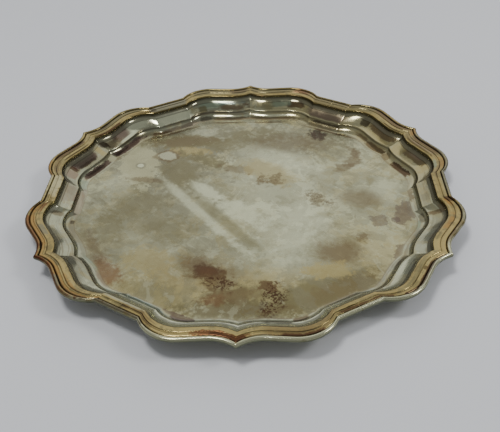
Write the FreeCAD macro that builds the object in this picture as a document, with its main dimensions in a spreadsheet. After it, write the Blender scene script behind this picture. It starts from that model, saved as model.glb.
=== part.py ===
"""A round silver salver with a six-point bracket border, as a parametric document in millimetres.

+Z is up and the origin is the centre of the underside, which stands on the table.  A cusp of the rim
lies on -Y and another on +Y.  The tray is one raised sheet: a flat floor, a wall of two hollow steps
and a narrow flange.  The border is a moulding cast in six lengths, one to each cusp.  It is soldered
on the flange, and its lengths are butted and soldered halfway along the straight stretches.
"""
import FreeCAD
import Part
import Sketcher
import math
import os

from FreeCAD import Placement, Rotation, Vector

REPEATS = 6
HALF_REPEAT = 180.0 / REPEATS
UP = Vector(0, 0, 1)
ORIGIN = (-1, 1)
SAME_PLANE = 0.001

# ---------------------------------------------------------------- driving dimensions
SIZES = [
    # an outline of the rim: a sharp cusp, a hollow dip, a round shoulder and a straight stretch
    ("rim_cusp", 152.5, "axis to the point of a cusp"),
    ("rim_dip", 147.5, "axis to the hollow beside a cusp"),
    ("rim_shoulder", 152.5, "axis to the top of a shoulder"),
    ("rim_shoulder_at", 15.5, "direction of that top from a cusp, in degrees"),
    ("rim_flat", 142.7, "axis to a straight stretch"),
    # the same outline where the wall meets the floor
    ("well_cusp", 118.8, "axis to the point of a cusp"),
    ("well_dip", 117.2, "axis to the hollow beside a cusp"),
    ("well_shoulder", 121.3, "axis to the top of a shoulder"),
    ("well_shoulder_at", 17.0, "direction of that top from a cusp, in degrees"),
    ("well_flat", 117.0, "axis to a straight stretch"),
    # other directions from a cusp, in degrees, the same in every outline
    ("dip_angle", 5.25, "to the middle of a dip"),
    ("notch_angle", 23.6, "to the notch between a shoulder and a straight stretch"),
    # heights above the underside
    ("sheet", 1.2, "the floor's top, and the thickness of the sheet"),
    ("underside", 0.0, "the underside"),
    ("lower_under_middle", 2.05, "lower step, halfway, underneath"),
    ("lower_middle", 3.0, "lower step, halfway"),
    ("step_under", 4.8, "edge between the steps, underneath"),
    ("step_top", 5.8, "edge between the steps"),
    ("upper_under_middle", 8.05, "upper step, halfway, underneath"),
    ("upper_middle", 8.9, "upper step, halfway"),
    ("flange_under", 12.2, "flange, underneath"),
    ("flange_top", 13.4, "flange"),
    ("seat", 13.7, "underside of the border, on its solder"),
    ("roll_middle", 14.9, "widest part of the border's outer roll"),
    ("band_middle", 14.4, "halfway up the border's inner band"),
    ("band_top", 15.2, "top of the inner band"),
    ("roll_top", 16.0, "top of the outer roll, and of the salver"),
    # insets from the rim's outline, measured at a straight stretch
    ("rim", 0.0, "rim"),
    ("roll_foot_in", 1.5, "bottom of the outer roll"),
    ("roll_shoulder_in", 0.3, "outer roll, three quarters up"),
    ("roll_crest_in", 1.2, "outer edge of the roll's crest"),
    ("flange_in", 2.4, "edge of the flange"),
    ("roll_crest_end_in", 2.3, "inner edge of the roll's crest"),
    ("roll_back_in", 3.2, "inner side of the roll, three quarters up"),
    ("band_foot_in", 3.0, "outer side of the band, buried in the roll"),
    ("roll_end_in", 3.4, "inner side of the roll, at the seat"),
    ("band_face_in", 3.2, "outer side of the band, halfway up"),
    ("band_crest_in", 3.6, "outer edge of the band's crest"),
    ("upper_under_in", 8.7, "top of the wall, underneath"),
    ("band_crest_end_in", 7.4, "inner edge of the band's crest"),
    ("band_back_in", 9.6, "inner side of the band, halfway up"),
    ("wall_in", 9.8, "top of the wall, and the inner edge of the border"),
    ("upper_under_middle_in", 12.05, "upper step, halfway, underneath"),
    ("upper_middle_in", 12.9, "upper step, halfway"),
    ("step_under_in", 18.35, "edge between the steps, underneath"),
    ("step_in", 19.3, "edge between the steps"),
    ("lower_under_middle_in", 20.3, "lower step, halfway, underneath"),
    ("lower_middle_in", 21.0, "lower step, halfway"),
    ("well_under_in", 25.3, "foot of the wall, underneath"),
    ("well_in", 25.7, "foot of the wall"),
    # soldered joint between two lengths of the border
    ("half_butt", 0.15, "half the thickness of its solder"),
]

doc = FreeCAD.newDocument("salver")
sheet = doc.addObject("Spreadsheet::Sheet", "Sizes")
for row, (alias, value, meaning) in enumerate(SIZES, start=1):
    sheet.set(f"A{row}", alias)
    sheet.set(f"B{row}", str(value))
    sheet.set(f"C{row}", meaning)
    sheet.setAlias(f"B{row}", alias)
doc.recompute()


def size(alias):
    return float(sheet.get(alias))


# ---------------------------------------------------------------- the family of outlines
def between(part, inset):
    """A measure of the outline at an inset, in proportion between the rim's and the well's."""
    share = size(inset) / (size("rim_flat") - size("well_flat"))
    return size("rim_" + part) - share * (size("rim_" + part) - size("well_" + part))


def between_expression(part, inset):
    return (f"Sizes.rim_{part} - (Sizes.rim_{part} - Sizes.well_{part})"
            f" * Sizes.{inset} / (Sizes.rim_flat - Sizes.well_flat)")


def polar(distance, degrees):
    turn = math.radians(degrees)
    return Vector(distance * math.cos(turn), distance * math.sin(turn), 0)


def arc_through(centre, start, end):
    """The arc that runs anticlockwise about a centre from one point to another."""
    first, last = (math.atan2(p.y - centre.y, p.x - centre.x) for p in (start, end))
    if last < first:
        last += 2 * math.pi
    return Part.ArcOfCircle(Part.Circle(centre, UP, (start - centre).Length), first, last)


def outline_points(inset, gap):
    """Corners and centres of half a repeat, whose cusp is on +X, at an inset from the rim."""
    cusp = Vector(between("cusp", inset), 0, 0)
    dip = polar(between("dip", inset), size("dip_angle"))
    shoulder = polar(between("shoulder", inset), between("shoulder_at", inset))
    flat = between("flat", inset)
    along, across = polar(1, HALF_REPEAT), polar(1, HALF_REPEAT - 90)
    notch = polar(flat / math.cos(math.radians(HALF_REPEAT - size("notch_angle"))), size("notch_angle"))

    def centre_on_spoke(near, far):
        """Centre on the ray of one point, as far from it as from the other point."""
        ray = Vector(near).normalize()
        span = far - near
        return near + ray * (span.dot(span) / (2 * ray.dot(span)))

    scoop_centre = centre_on_spoke(dip, cusp)
    round_centre = centre_on_spoke(shoulder, notch)
    scoop, round_off = (scoop_centre - dip).Length, (round_centre - shoulder).Length
    apart = scoop_centre - round_centre
    lean = math.atan2(apart.y, apart.x) + math.acos((scoop + round_off) / apart.Length)
    normal = polar(1, math.degrees(lean))
    return {
        "cusp": cusp, "dip": dip, "shoulder": shoulder, "notch": notch,
        "scoop_centre": scoop_centre, "round_centre": round_centre,
        "scoop_end": scoop_centre - normal * scoop, "round_start": round_centre + normal * round_off,
        "flat_middle": along * flat, "flat_end": along * flat + across * gap,
    }


# ---------------------------------------------------------------- sketches of half a repeat
def spoke(sketch, name, end, length_expression, angle_expression=None):
    """A construction line from the axis, whose length and direction come from the sheet."""
    line = sketch.addGeometry(Part.LineSegment(Vector(), end), True)
    sketch.addConstraint(Sketcher.Constraint("Coincident", line, 1, *ORIGIN))
    length = sketch.addConstraint(Sketcher.Constraint("Distance", line, end.Length))
    sketch.renameConstraint(length, name)
    sketch.setExpression(f"Constraints.{name}", length_expression)
    if angle_expression is None:
        sketch.addConstraint(Sketcher.Constraint("Horizontal", line))
    else:
        angle = sketch.addConstraint(Sketcher.Constraint("Angle", line, math.atan2(end.y, end.x)))
        sketch.renameConstraint(angle, name + "_angle")
        sketch.setExpression(f"Constraints.{name}_angle", angle_expression)
    return line


def add_outline(sketch, inset, gap):
    """Half a repeat of the outline at an inset, from its cusp to a gap before the flat's middle."""
    p = outline_points(inset, gap)
    flat_expression = between_expression("flat", inset)
    notch_expression = f"({flat_expression}) / cos(180 deg / {REPEATS} - Sizes.notch_angle * 1 deg)"
    spokes = {"cusp": spoke(sketch, f"{inset}_cusp", p["cusp"], between_expression("cusp", inset))}
    spoke_rules = {
        "dip": (p["dip"], between_expression("dip", inset), "Sizes.dip_angle * 1 deg"),
        "shoulder": (p["shoulder"], between_expression("shoulder", inset),
                     f"({between_expression('shoulder_at', inset)}) * 1 deg"),
        "notch": (p["notch"], notch_expression, "Sizes.notch_angle * 1 deg"),
        "flat": (p["flat_middle"], flat_expression, f"180 deg / {REPEATS}"),
    }
    for part, (end, length, angle) in spoke_rules.items():
        spokes[part] = spoke(sketch, f"{inset}_{part}", end, length, angle)
    scoop = sketch.addGeometry(arc_through(p["scoop_centre"], p["scoop_end"], p["cusp"]))
    ramp = sketch.addGeometry(Part.LineSegment(p["scoop_end"], p["round_start"]))
    rounded = sketch.addGeometry(arc_through(p["round_centre"], p["round_start"], p["notch"]))
    flat = sketch.addGeometry(Part.LineSegment(p["notch"], p["flat_end"]))
    for constraint in (
        ("Coincident", scoop, 2, spokes["cusp"], 2),
        ("PointOnObject", spokes["dip"], 2, scoop),
        ("PointOnObject", scoop, 3, spokes["dip"]),
        ("Tangent", scoop, 1, ramp, 1),
        ("Tangent", ramp, 2, rounded, 1),
        ("PointOnObject", spokes["shoulder"], 2, rounded),
        ("PointOnObject", rounded, 3, spokes["shoulder"]),
        ("Coincident", rounded, 2, spokes["notch"], 2),
        ("Coincident", flat, 1, rounded, 2),
        ("PointOnObject", spokes["flat"], 2, flat) if gap else ("Coincident", flat, 2, spokes["flat"], 2),
    ):
        sketch.addConstraint(Sketcher.Constraint(*constraint))
    return {"scoop": scoop, "flat": flat, "flat_spoke": spokes["flat"]}, p


def origin_feature(body, role):
    return next(f for f in body.Origin.OriginFeatures if f.Role == role)


def new_sketch(body, name, height):
    sketch = body.newObject("Sketcher::SketchObject", f"{body.Name}_{name}")
    sketch.AttachmentSupport = (origin_feature(body, "XY_Plane"), [""])
    sketch.MapMode = "FlatFace"
    sketch.AttachmentOffset = Placement(Vector(0, 0, size(height)), Rotation())
    sketch.setExpression(".AttachmentOffset.Base.z", f"Sizes.{height}")
    return sketch


def wedge_sketch(body, name, height, inset):
    """The whole of half a repeat inside one outline, closed at the axis."""
    sketch = new_sketch(body, name, height)
    edge, p = add_outline(sketch, inset, 0)
    middle = sketch.addGeometry(Part.LineSegment(p["flat_middle"], Vector()))
    axis = sketch.addGeometry(Part.LineSegment(Vector(), p["cusp"]))
    for constraint in (
        ("Coincident", middle, 1, edge["flat"], 2),
        ("Coincident", middle, 2, *ORIGIN),
        ("Coincident", axis, 1, *ORIGIN),
        ("Coincident", axis, 2, edge["scoop"], 2),
    ):
        sketch.addConstraint(Sketcher.Constraint(*constraint))
    return sketch


def ribbon_sketch(body, name, height, outer_inset, inner_inset, half_gap=None):
    """Half a repeat between two outlines, which may stop a half gap short of the flat's middle."""
    sketch = new_sketch(body, name, height)
    gap = size(half_gap) if half_gap else 0.0
    outer, p = add_outline(sketch, outer_inset, gap)
    inner, q = add_outline(sketch, inner_inset, gap)
    cut = sketch.addGeometry(Part.LineSegment(p["flat_end"], q["flat_end"]))
    axis = sketch.addGeometry(Part.LineSegment(q["cusp"], p["cusp"]))
    constraints = [
        ("Coincident", cut, 1, outer["flat"], 2),
        ("Coincident", cut, 2, inner["flat"], 2),
        ("Coincident", axis, 1, inner["scoop"], 2),
        ("Coincident", axis, 2, outer["scoop"], 2),
    ]
    if half_gap:
        constraints.append(("Parallel", cut, outer["flat_spoke"]))
    for constraint in constraints:
        sketch.addConstraint(Sketcher.Constraint(*constraint))
    if half_gap:
        distance = sketch.addConstraint(
            Sketcher.Constraint("Distance", outer["flat"], 2, outer["flat_spoke"], gap))
        sketch.renameConstraint(distance, "half_gap")
        sketch.setExpression("Constraints.half_gap", f"Sizes.{half_gap}")
    return sketch


def loft(body, kind, name, sketches):
    feature = body.newObject(f"PartDesign::{kind}Loft", f"{body.Name}_{name}")
    feature.Profile = (sketches[0], [""])
    feature.Sections = [(s, [""]) for s in sketches[1:]]
    return feature


def pad(body, name, sketch, top, bottom):
    feature = body.newObject("PartDesign::Pad", f"{body.Name}_{name}")
    feature.Profile = sketch
    feature.setExpression("Length", f"Sizes.{top} - Sizes.{bottom}")
    return feature


def mirror_body(body):
    """Adds the other half of the repeat, across the plane through the cusp."""
    solids = [f for f in body.Group if f.isDerivedFrom("PartDesign::Feature")]
    feature = body.newObject("PartDesign::Mirrored", f"{body.Name}_mirrored")
    feature.MirrorPlane = (origin_feature(body, "XZ_Plane"), [""])
    feature.Originals = solids
    body.Tip = feature
    doc.recompute()


def repeat_body(body):
    """Repeats what the body has all round its axis."""
    feature = body.newObject("PartDesign::PolarPattern", f"{body.Name}_repeated")
    feature.Axis = (origin_feature(body, "Z_Axis"), [""])
    feature.Angle = 360
    feature.Occurrences = REPEATS
    feature.TransformMode = "Whole shape"
    body.Tip = feature


def new_body(name, cusp_direction):
    """A body whose first cusp points in a direction, in degrees about +Z."""
    body = doc.addObject("PartDesign::Body", name)
    body.Label = name
    body.Placement = Placement(Vector(), Rotation(UP, cusp_direction))
    return body


# ---------------------------------------------------------------- the tray
def build_plate():
    """The raised sheet: its outside is built up from the underside, and its inside is cut away."""
    body = new_body("plate", -90)
    outside = {
        "lower": (("underside", "well_under_in"), ("lower_under_middle", "lower_under_middle_in"),
                  ("step_under", "step_under_in")),
        "upper": (("step_under", "step_under_in"), ("upper_under_middle", "upper_under_middle_in"),
                  ("flange_under", "upper_under_in")),
    }
    inside = {
        "upper_hollow": (("flange_top", "wall_in"), ("upper_middle", "upper_middle_in"),
                         ("step_top", "step_in")),
        "lower_hollow": (("step_top", "step_in"), ("lower_middle", "lower_middle_in"),
                         ("sheet", "well_in")),
    }
    for name, rails in outside.items():
        sketches = [wedge_sketch(body, f"{name}_{n}", *rail) for n, rail in enumerate(rails, start=1)]
        loft(body, "Additive", name, sketches)
    pad(body, "flange", wedge_sketch(body, "flange_edge", "flange_under", "flange_in"),
        "flange_top", "flange_under")
    for name, rails in inside.items():
        sketches = [wedge_sketch(body, f"{name}_{n}", *rail) for n, rail in enumerate(rails, start=1)]
        loft(body, "Subtractive", name, sketches)
    mirror_body(body)
    repeat_body(body)
    return body


# ---------------------------------------------------------------- the border
def build_border_section(number):
    """One cast length of the border: an outer roll that hides the flange's edge, and an inner band."""
    body = new_body(f"border_section_{number}", -90 + 2 * HALF_REPEAT * (number - 1))
    stages = {
        "lip": (("flange_under", "roll_foot_in", "flange_in"), ("seat", "rim", "flange_in")),
        "roll": (("seat", "rim", "roll_end_in"), ("roll_middle", "roll_shoulder_in", "roll_back_in"),
                 ("roll_top", "roll_crest_in", "roll_crest_end_in")),
        "band": (("seat", "band_foot_in", "wall_in"), ("band_middle", "band_face_in", "band_back_in"),
                 ("band_top", "band_crest_in", "band_crest_end_in")),
    }
    for name, rails in stages.items():
        sketches = [ribbon_sketch(body, f"{name}_{n}", *rail, "half_butt")
                    for n, rail in enumerate(rails, start=1)]
        loft(body, "Additive", name, sketches)
    mirror_body(body)
    return body


def build_border_solder():
    """The film of solder that runs all round between the flange and the border."""
    body = new_body("border_solder", -90)
    pad(body, "film", ribbon_sketch(body, "film_outline", "flange_top", "flange_in", "wall_in"),
        "seat", "flange_top")
    mirror_body(body)
    repeat_body(body)
    return body


def build_butt_solder(section):
    """Six slices of solder, each filling the gap between the ends of two lengths of the border."""
    across = polar(1, HALF_REPEAT)
    faces = section.Shape.Faces
    furthest = max(face.CenterOfMass.dot(across) for face in faces)
    ends = [face for face in faces if furthest - face.CenterOfMass.dot(across) < SAME_PLANE]
    stretches = [face.extrude(across * (2 * size("half_butt"))) for face in ends]
    piece = stretches[0].multiFuse(stretches[1:]).removeSplitter()
    slices = [piece.rotated(Vector(), UP, 2 * HALF_REPEAT * repeat) for repeat in range(REPEATS)]
    feature = doc.addObject("Part::Feature", "butt_solder")
    feature.Label = "butt_solder"
    feature.Shape = Part.makeCompound(slices)
    feature.Placement = Placement()
    return feature


nodes = [build_plate()]
sections = [build_border_section(number) for number in range(1, REPEATS + 1)]
nodes += sections
nodes.append(build_border_solder())
doc.recompute()
nodes.append(build_butt_solder(sections[0]))
doc.recompute()

# ---------------------------------------------------------------- checks and files
for item in doc.Objects:
    if {"Invalid", "Error"} & set(item.State):
        raise RuntimeError(f"{item.Name}: {item.State}")
    if item.isDerivedFrom("Sketcher::SketchObject") and not item.FullyConstrained:
        raise RuntimeError(f"{item.Name}: loose sketch")
for node in nodes:
    if node.Shape.isNull() or not node.Shape.isValid():
        raise RuntimeError(f"{node.Label}: bad shape")

os.makedirs("parts", exist_ok=True)
for node in nodes:
    node.Shape.exportStep(f"parts/{node.Label}.step")
    box = node.Shape.BoundBox
    print(f"{node.Label}: {len(node.Shape.Solids)} solid, {node.Shape.Volume:.0f} mm3, "
          f"{box.XMin:.1f}..{box.XMax:.1f} x {box.YMin:.1f}..{box.YMax:.1f} x "
          f"{box.ZMin:.1f}..{box.ZMax:.1f}")
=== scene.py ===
"""The looks of the silver salver: its sheet, its moulded border, and the tarnish and painted light
on them.
"""
import math

import bpy
import numpy as np
from mathutils import Matrix, Vector


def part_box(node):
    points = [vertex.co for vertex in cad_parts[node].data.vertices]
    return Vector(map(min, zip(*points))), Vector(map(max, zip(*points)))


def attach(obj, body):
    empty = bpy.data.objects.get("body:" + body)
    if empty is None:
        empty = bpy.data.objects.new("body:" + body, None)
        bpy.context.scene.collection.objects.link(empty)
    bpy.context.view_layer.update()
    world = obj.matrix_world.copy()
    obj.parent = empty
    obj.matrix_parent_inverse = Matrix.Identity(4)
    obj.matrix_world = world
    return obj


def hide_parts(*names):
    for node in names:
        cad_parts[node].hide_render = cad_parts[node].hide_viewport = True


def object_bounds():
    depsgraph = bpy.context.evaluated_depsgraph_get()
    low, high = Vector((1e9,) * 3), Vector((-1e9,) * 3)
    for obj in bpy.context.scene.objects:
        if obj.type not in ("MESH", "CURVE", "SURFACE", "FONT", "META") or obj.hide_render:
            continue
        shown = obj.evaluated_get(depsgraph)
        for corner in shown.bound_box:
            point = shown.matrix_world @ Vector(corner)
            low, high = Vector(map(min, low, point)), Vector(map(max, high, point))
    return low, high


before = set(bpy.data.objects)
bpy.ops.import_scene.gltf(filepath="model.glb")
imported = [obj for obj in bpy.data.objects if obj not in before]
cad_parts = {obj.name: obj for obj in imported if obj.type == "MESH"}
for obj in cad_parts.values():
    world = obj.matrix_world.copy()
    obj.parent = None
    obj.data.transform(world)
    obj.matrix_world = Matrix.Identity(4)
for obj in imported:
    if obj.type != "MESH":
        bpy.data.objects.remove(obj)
cad_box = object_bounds()
MM = 0.001

# ---------------------------------------------------------------- sizes, from the frame's box
CORNER_LOW, CORNER_HIGH = (np.array(c) for c in cad_box)
CUSP = (CORNER_HIGH[1] - CORNER_LOW[1]) / 2      # axis to the point of a cusp
HEIGHT = CORNER_HIGH[2]
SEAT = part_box("border_solder")[1][2]             # underside of the border
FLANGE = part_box("plate")[1][2]                   # top of the tray's flange
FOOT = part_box("border_section_1")[0][2]          # lowest point of the border
REPEATS = 6
SECTOR = 2 * math.pi / REPEATS

# The outline's radii as shares of a cusp's, and the turn from a cusp to its shoulder, at the rim
# and at the foot of the wall
RIM = {"cusp": 1.0, "dip": 0.9672, "shoulder": 1.0, "flat": 0.9357,
       "turn": math.radians(15.5)}
WELL = {"cusp": 0.7790, "dip": 0.7685, "shoulder": 0.7954, "flat": 0.7672,
        "turn": math.radians(17.0)}
DIP_TURN = math.radians(5.25)                    # from a cusp to the bottom of its dip
NOTCH_TURN = math.radians(23.6)                  # from a cusp to the start of the straight stretch
WALL_WIDTH = (RIM["flat"] - WELL["flat"]) * CUSP     # rim's edge to the foot of the wall
HALF_BUTT = 0.15 * MM                            # half the gap between two lengths of border
FRONT = math.radians(-90)                        # direction of the first cusp

# How finely the meshes follow the outline
SOFT_TURN = math.radians(0.22)                   # reach of the rounding of cusps and notches
COLUMN_STEP = math.radians(0.8)
CLOSEST_COLUMNS = math.radians(0.05)
SHARP_ANGLE = math.radians(50)


# ---------------------------------------------------------------- outlines
def polar(radius, turn):
    return np.array([radius * math.cos(turn), radius * math.sin(turn)])


def centre_on_ray(near, far):
    """The centre that lies on one point's ray and is as far from it as from the other point."""
    ray = near / np.linalg.norm(near)
    span = far - near
    return near + ray * (span @ span) / (2 * ray @ span)


def outline(inset, turns):
    """Radii of the outline at an inset from the rim's edge, for any turns from a cusp.

    From a cusp it goes round a hollow dip, straight up to the shoulder's circle, round that to the
    notch and on along the straight stretch. The other side mirrors it.
    """
    share = inset / WALL_WIDTH
    part = {name: RIM[name] + share * (WELL[name] - RIM[name]) for name in RIM}
    cusp, dip = polar(part["cusp"], 0), polar(part["dip"], DIP_TURN)
    shoulder = polar(part["shoulder"], part["turn"])
    notch = polar(part["flat"] / math.cos(SECTOR / 2 - NOTCH_TURN), NOTCH_TURN)
    scoop_centre, round_centre = centre_on_ray(dip, cusp), centre_on_ray(shoulder, notch)
    scoop, rounded = np.linalg.norm(scoop_centre - dip), np.linalg.norm(round_centre - shoulder)
    apart = scoop_centre - round_centre
    crossing = min(1, (scoop + rounded) / np.linalg.norm(apart))
    normal = polar(1, math.atan2(apart[1], apart[0]) + math.acos(crossing))
    first, last = scoop_centre - normal * scoop, round_centre + normal * rounded
    folded = np.abs((np.asarray(turns) + SECTOR / 2) % SECTOR - SECTOR / 2)

    def to_circle(centre, radius, sign):
        reach, turn = np.linalg.norm(centre), math.atan2(centre[1], centre[0])
        across = np.clip(radius**2 - (reach * np.sin(folded - turn)) ** 2, 0, None)
        return reach * np.cos(folded - turn) + sign * np.sqrt(across)

    ramp = (normal @ first) / (normal[0] * np.cos(folded) + normal[1] * np.sin(folded))
    radii = np.select(
        [folded < math.atan2(first[1], first[0]), folded < math.atan2(last[1], last[0]),
         folded < NOTCH_TURN],
        [to_circle(scoop_centre, scoop, -1), ramp, to_circle(round_centre, rounded, 1)],
        part["flat"] / np.cos(SECTOR / 2 - folded))
    return radii * CUSP


def softened(inset, turns, soft_turn):
    """The same outline with its cusps and notches rounded off a little."""
    steps = np.linspace(-1, 1, 7)
    weights = 1 - np.abs(steps) * 0.75
    radii = [outline(inset, turns + step * soft_turn) for step in steps]
    return sum(w * r for w, r in zip(weights, radii)) / weights.sum()


def smooth_path(points, per_span):
    """A Catmull-Rom curve through points, sampled evenly in each span."""
    p = np.array(points, float)
    p = np.vstack([2 * p[0] - p[1], p, 2 * p[-1] - p[-2]])
    out = []
    for k in range(1, len(p) - 2):
        for t in np.arange(per_span) / per_span:
            out.append(0.5 * (2 * p[k] + (p[k + 1] - p[k - 1]) * t
                              + (2 * p[k - 1] - 5 * p[k] + 4 * p[k + 1] - p[k + 2]) * t**2
                              + (3 * p[k] - p[k - 1] - 3 * p[k + 1] + p[k + 2]) * t**3))
    out.append(p[-2])
    return np.array(out)


# ---------------------------------------------------------------- cross-sections
# Points are (inset from the rim's edge, height above the salver's underside) in mm
SHEET = 1.2                                      # thickness of the plate
BORDER_TOP = [
    (9.80, SEAT / MM), (9.76, 13.95), (9.50, 14.22), (8.80, 14.50), (7.50, 14.76), (6.50, 14.92),
    (6.08, 14.90), (5.86, 14.74), (5.62, 14.93), (5.20, 15.14), (4.60, 15.12), (3.90, 15.14),
    (3.30, 15.22), (2.90, 15.02), (2.62, 14.62), (2.46, 15.10), (2.20, 15.62), (1.75, 15.91),
    (1.20, 16.00), (0.65, 15.86), (0.25, 15.42), (0.03, 14.70), (0.05, 13.98), (0.30, 13.22),
    (0.75, 12.62), (1.30, 12.27), (1.90, FOOT / MM), (2.40, 12.24),
]
# the grooves are darkened with painted shade
GROOVES = ((2.62, 1.0), (5.86, 0.45))            # insets, and how dark each groove is
GROOVE_WIDTH = 0.32
WALL_TOP = [
    (9.80, FLANGE / MM), (9.92, 12.70), (10.25, 11.70), (10.95, 10.70), (12.10, 9.72),
    (13.90, 8.52), (15.90, 7.34), (17.90, 6.42), (18.90, 6.08), (19.30, 5.84), (19.62, 5.28),
    (20.05, 4.40), (20.80, 3.42), (21.90, 2.54), (23.20, 1.90), (24.50, 1.46), (25.30, 1.26),
    (25.90, SHEET),
]
RUN_START, RUN_END = 2.40, 6.00                  # insets of the hidden surfaces under the border
UNDERSIDE_START = 8.6                            # inset where the wall's underside starts
FLOOR_RINGS = (0.97, 0.9, 0.78, 0.62, 0.45, 0.28, 0.14, 0.05)    # sizes, the floor's edge being 1


def hidden_run(height):
    """The ends of a level surface under the border, at a height in mm."""
    return [(RUN_START, height), (RUN_END, height)]


def column_turns(start, end):
    """Directions of the mesh's columns, close together at each cusp and notch."""
    fine = np.array([0.0, 0.12, 0.25, 0.4, 0.6, 0.9])
    creases = np.concatenate([fine, -fine])
    turns = list(np.linspace(start, end, int(round((end - start) / COLUMN_STEP)) + 1))
    for repeat in range(-1, REPEATS + 1):
        for crease in (0.0, NOTCH_TURN, -NOTCH_TURN):
            turns += list(repeat * SECTOR + crease + np.radians(creases))
    turns = np.unique(np.round([t for t in turns if start <= t <= end], 6))
    keep = np.concatenate([[True], np.diff(turns) > CLOSEST_COLUMNS])
    return turns[keep]


def add_object(name, data):
    obj = bpy.data.objects.new(name, data)
    bpy.context.scene.collection.objects.link(obj)
    return obj


def new_mesh(name, points, faces, **attributes):
    """A smooth object that rides the root, with one value per point for each attribute."""
    mesh = bpy.data.meshes.new(name)
    mesh.from_pydata([tuple(p) for p in points], [], faces)
    mesh.polygons.foreach_set("use_smooth", [True] * len(mesh.polygons))
    mesh.update()
    mesh.set_sharp_from_angle(angle=SHARP_ANGLE)
    for key, values in attributes.items():
        layer = mesh.attributes.new(key, "FLOAT", "POINT")
        layer.data.foreach_set("value", np.asarray(values, np.float32))
    obj = add_object(name, mesh)
    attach(obj, "root")
    return obj


def ring_points(path, turns, first_cusp):
    """One row of points for each place on a cross-section, each row following the outline."""
    rows = []
    for inset, height in path:
        radii = softened(inset * MM, turns, SOFT_TURN)
        angle = turns + first_cusp
        rows.append(np.stack([radii * np.cos(angle), radii * np.sin(angle),
                              np.full(len(turns), height * MM)], axis=1))
    return np.array(rows)


def strip_faces(rows, columns, closed_round, closed_section):
    """Quads between neighbouring rows and columns, numbered row by row."""
    faces = []
    for r in range(rows if closed_section else rows - 1):
        below = (r + 1) % rows
        for c in range(columns if closed_round else columns - 1):
            beside = (c + 1) % columns
            faces.append((r * columns + c, r * columns + beside,
                          below * columns + beside, below * columns + c))
    return faces


def build_border_section(number):
    """One cast length of the moulding, with closed ends."""
    half = SECTOR / 2 - HALF_BUTT / (RIM["flat"] * CUSP)
    turns = column_turns(-half, half)
    top = smooth_path(BORDER_TOP, 4)
    path = np.vstack([top, hidden_run(SEAT / MM)])
    rows = ring_points(path, turns, FRONT + SECTOR * (number - 1))
    count, columns = len(path), len(turns)
    faces = strip_faces(count, columns, False, True)
    faces.append(tuple(r * columns for r in range(count)))
    faces.append(tuple(r * columns + columns - 1 for r in reversed(range(count))))
    faces = [face[::-1] for face in faces]
    inset = np.repeat(path[:, 0], columns)
    # how dark the painted shade in the grooves is, at each point
    groove = sum(dark * np.exp(-((inset - middle) / GROOVE_WIDTH) ** 2)
                 for middle, dark in GROOVES)
    obj = new_mesh(f"moulding_{number}", rows.reshape(-1, 3), faces,
                   share=inset * MM / WALL_WIDTH, groove=groove,
                   level=np.repeat(path[:, 1], columns))
    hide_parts(f"border_section_{number}")
    return obj


def offset_path(path, distance):
    """The path moved down and inwards by a distance, never below zero or back outwards."""
    step = np.gradient(path, axis=0)
    step /= np.linalg.norm(step, axis=1)[:, None]
    moved = path + distance * np.stack([step[:, 1], -step[:, 0]], axis=1)
    moved[:, 1] = np.clip(moved[:, 1], 0, None)
    moved[:, 0] = np.maximum.accumulate(moved[:, 0])
    return moved


def build_plate():
    """The raised sheet, from the middle of its floor out to the flange and back underneath."""
    turns = column_turns(-SECTOR / 2, 2 * math.pi - SECTOR / 2)[:-1]
    wall = smooth_path(WALL_TOP, 3)
    above = np.vstack([hidden_run(FLANGE / MM), wall])
    below = offset_path(wall, SHEET)
    below = np.vstack([hidden_run(FLANGE / MM - SHEET), below[below[:, 0] > UNDERSIDE_START]])
    sides = [(above, SHEET), (below, 0.0)]
    points, shares, under, faces = [], [], [], []
    columns = len(turns)
    start_rows = []
    for side, (path, level) in enumerate(sides):
        rows = list(ring_points(path, turns, FRONT))
        edge = rows[-1]
        rows += [edge * [scale, scale, 1] for scale in FLOOR_RINGS]
        # the attribute runs on over the floor, from 1 at its edge to 2 in its middle
        share = list(path[:, 0] * MM / WALL_WIDTH) + [2 - scale for scale in FLOOR_RINGS]
        first = len(points)
        start_rows.append(first)
        points += [p for row in rows for p in row]
        shares += [s for s in share for _ in range(columns)]
        quads = strip_faces(len(rows), columns, True, False)
        centre = len(points)
        points.append((0, 0, level * MM))
        shares.append(2.0)
        under += [side] * (len(points) - first)
        last = centre - columns
        fan = [(last + c, last + (c + 1) % columns, centre) for c in range(columns)]
        for face in [tuple(first + i for i in quad) for quad in quads] + fan:
            faces.append(face if side == 0 else face[::-1])
    upper, lower = start_rows
    for c in range(columns):
        beside = (c + 1) % columns
        faces.append((lower + c, lower + beside, upper + beside, upper + c))
    obj = new_mesh("tray", points, faces, share=shares, under=under)
    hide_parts("plate")
    return obj


def build_butt_solder():
    """Six slices of solder, one in each joint of the border and a hair inside its surface."""
    section = smooth_path(BORDER_TOP, 2)
    middle = np.array([4.6, 13.9])
    lowered = middle + (section - middle) * [0.99, 0.97]
    base = SEAT / MM + 0.02
    path = np.vstack([lowered, [(RUN_START + 0.05, base), (RUN_END, base)]])
    count = len(path)
    points, faces = [], []
    for repeat in range(REPEATS):
        angle = FRONT + SECTOR * (repeat + 0.5)
        out, side = polar(1, angle), polar(1, angle + math.pi / 2)
        first = len(points)
        for across in (-HALF_BUTT, HALF_BUTT):
            for inset, height in path:
                spot = out * (RIM["flat"] * CUSP - inset * MM) + side * across
                points.append((spot[0], spot[1], height * MM))
        near, far = list(range(first, first + count)), list(range(first + count, len(points)))
        faces += [tuple(near), tuple(reversed(far))]
        faces += [(near[i - 1], far[i - 1], far[i], near[i]) for i in [*range(1, count), 0]]
    obj = new_mesh("solder_slices", points, faces)
    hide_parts("butt_solder")
    return obj


# ---------------------------------------------------------------- colours
def shade(red, green, blue):
    return (red, green, blue, 1.0)


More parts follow.
